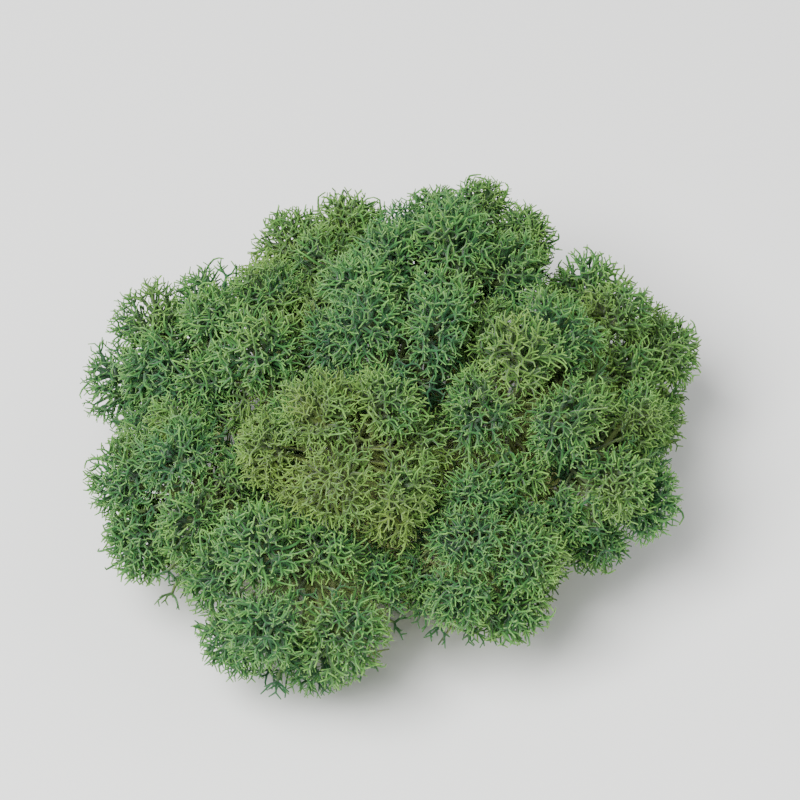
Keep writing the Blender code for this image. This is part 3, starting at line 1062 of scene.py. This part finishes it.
def dyed_lichen():
    """Felted, dyed lichen: matt, with a faint pale sheen at its edges and no clear gloss."""
    material = bpy.data.materials.new("dyed preserved lichen")
    material.use_nodes = True
    tree = material.node_tree
    shader = tree.nodes["Principled BSDF"]
    pattern = lichen_patterns(tree)
    age, lit_share = (
        add_node(tree, "ShaderNodeAttribute", attribute_name=label).outputs["Fac"]
        for label in ("age", "lit_share")
    )
    # Age times lit share: where shade is painted, the colour is taken lower on the ramp
    age_and_shade = add_node(tree, "ShaderNodeMath", {0: age, 1: lit_share}, operation="MULTIPLY")
    ramp = add_node(tree, "ShaderNodeValToRGB", {"Fac": age_and_shade.outputs[0]})
    stops = ramp.color_ramp.elements
    for position, _ in SHADES[1:-1]:
        stops.new(position)
    for stop, (position, shade) in zip(stops, SHADES):
        stop.position = position
        stop.color = colour(shade)
    base = ramp.outputs["Color"]
    # Mix takes its share in socket 0 and two colours in 6 and 7, and gives a colour from 2
    for share, second, blend in (
        (pattern["yellow"], colour(YELLOWER), "MIX"),
        (pattern["blue"], colour(BLUER), "MIX"),
        (1.0, pattern["light"], "MULTIPLY"),
        (1.0, pattern["speck"], "MULTIPLY"),
    ):
        links = {0: share, 6: base, 7: second}
        mixed = add_node(tree, "ShaderNodeMix", links, data_type="RGBA", blend_type=blend)
        base = mixed.outputs[2]
    links = {"Strength": BUMP_STRENGTH, "Distance": BUMP_DEPTH, "Height": pattern["grain"]}
    bump = add_node(tree, "ShaderNodeBump", links)
    tree.links.new(base, shader.inputs["Base Color"])
    tree.links.new(pattern["roughness"], shader.inputs["Roughness"])
    tree.links.new(bump.outputs["Normal"], shader.inputs["Normal"])
    for label, value in FELT.items():
        shader.inputs[label].default_value = value
    return material


lichen = dyed_lichen()
print(lichen.name, "is made of", len(lichen.node_tree.nodes), "nodes")

# %% [markdown]
# ## From skeletons to meshes
#
# A modifier runs a tree on a skeleton, and the result is copied out as a plain mesh. It could
# stay live, but what leaves this file has to be plain meshes at the origin. The six sprays come
# first, because the plants need them. Values that only the trees read are dropped, and a spray
# keeps no tone or lit share (its painted shade) of its own: it takes them from the point that
# it stands on.

# %% Spray meshes
TREE_VALUES = ("tube_radius", "size", "facing", "is_stem", "carries_spray")
POINT_VALUES = ("tone", "lit_share")


def finished_mesh(skeleton, name, tree, values):
    """The plain mesh that a tree makes of a skeleton, with the tree's inputs set to values."""
    body = skeleton.to_object(name)
    bpy.context.scene.collection.objects.link(body)
    modifier = body.modifiers.new("growth", "NODES")
    modifier.node_group = tree
    for item in tree.interface.items_tree:
        if item.in_out == "INPUT" and item.name in values:
            modifier[item.identifier] = values[item.name]
    body.update_tag()
    grown = body.evaluated_get(bpy.context.evaluated_depsgraph_get())
    mesh = bpy.data.meshes.new_from_object(grown)
    bpy.data.objects.remove(body)
    return mesh


def drop_values(mesh, labels):
    """Removes stored values that nothing reads any more."""
    for label in labels:
        if label in mesh.attributes:
            mesh.attributes.remove(mesh.attributes[label])


sprays = bpy.data.collections.new("sprays")
for kind, skeleton in enumerate(spray_skeletons):
    name = f"spray_{kind + 1}"
    settings = {"Selection": True, "Sides": THREAD_SIDES}
    mesh = finished_mesh(skeleton, name, tubes_along_lines, settings)
    drop_values(mesh, TREE_VALUES + POINT_VALUES)
    sprays.objects.link(bpy.data.objects.new(name, mesh))
    print(name, "has", len(mesh.polygons), "faces")

# %% [markdown]
# ## Plants
#
# Each plant becomes one piece that stands in for its solid. Thick strands lean at their feet,
# so half of each cut edge dips under the table. Picked stems are cut level: whatever is under
# the table is brought up to it. A cut with another solid would do that too, but slowly.

# %% Plants


def cut_level(mesh):
    """Brings what is under the table up to it, as a cut across the stems does."""
    for corner in mesh.vertices:
        corner.co.z = max(corner.co.z, 0.0)


triangles = 0
for index, name in enumerate(names):
    settings = {
        "Strand Sides": STRAND_SIDES,
        "Thread Sides": THREAD_SIDES,
        "Sprays": sprays,
        "Seed": index,
        "Material": lichen,
    }
    mesh = finished_mesh(skeletons[index], f"{name}_skeleton", plant_from_skeleton, settings)
    drop_values(mesh, TREE_VALUES)
    cut_level(mesh)
    grown = bpy.data.objects.new(f"{name}_threads", mesh)
    bpy.context.scene.collection.objects.link(grown)
    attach(grown, "root")
    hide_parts(name)
    count = sum(len(face.vertices) - 2 for face in mesh.polygons)
    triangles += count
    print(name, "has", count, "triangles")
print("all plants:", triangles, "triangles")

for spray in list(sprays.objects):
    bpy.data.objects.remove(spray)
bpy.data.collections.remove(sprays)

# %% [markdown]
# ## Table
#
# A plain pale table lets the green be judged. A curved backdrop would have a front and a back,
# and the clump is looked at from all round, so the table is one large flat face.

# %% Table
TABLE_SIZE = 6.0
TABLE_COLOUR = "#F6F6F4"
TABLE_ROUGHNESS = 0.9

half = TABLE_SIZE / 2
corners = [(-half, -half, 0), (half, -half, 0), (half, half, 0), (-half, half, 0)]
table_mesh = bpy.data.meshes.new("table")
table_mesh.from_pydata(corners, [], [(0, 1, 2, 3)])
table_paint = bpy.data.materials.new("pale matt paint")
table_paint.use_nodes = True
paint = table_paint.node_tree.nodes["Principled BSDF"].inputs
paint["Base Color"].default_value = colour(TABLE_COLOUR)
paint["Roughness"].default_value = TABLE_ROUGHNESS
table_mesh.materials.append(table_paint)
table = bpy.data.objects.new("table", table_mesh)
bpy.context.scene.collection.objects.link(table)
print("the table is", TABLE_SIZE, "m square")

# %% [markdown]
# ## Light
#
# Threads this fine need soft light: a small lamp would turn the crown into black and white
# scratches. One large lamp from above gives the lobes their round shading, a weaker one from
# the other side opens the shadows, and a pale sky fills the gaps, as on a bright dull day.

# %% Lamps
SKY_COLOUR = "#F4F6F8"
SKY_STRENGTH = 0.54


def add_lamp(name, turn, rise, distance, size, watts):
    """A square soft lamp that shines on the clump."""
    light = bpy.data.lights.new(name, "AREA")
    light.size = size
    light.energy = watts
    lamp = bpy.data.objects.new(name, light)
    away = -view_direction(turn, rise)
    lamp.location = middle + away * distance
    lamp.rotation_euler = (-away).to_track_quat("-Z", "Y").to_euler()
    bpy.context.scene.collection.objects.link(lamp)
    print("the", name, "lamp gives", watts, "W from", round(lamp.location.z, 2), "m up")


add_lamp("key", turn=-75, rise=58, distance=0.8, size=0.45, watts=14)
add_lamp("fill", turn=40, rise=40, distance=1.0, size=0.9, watts=3)

world = bpy.data.worlds.new("sky")
world.use_nodes = True
sky = world.node_tree.nodes["Background"].inputs
sky["Color"].default_value = colour(SKY_COLOUR)
sky["Strength"].default_value = SKY_STRENGTH
bpy.context.scene.world = world
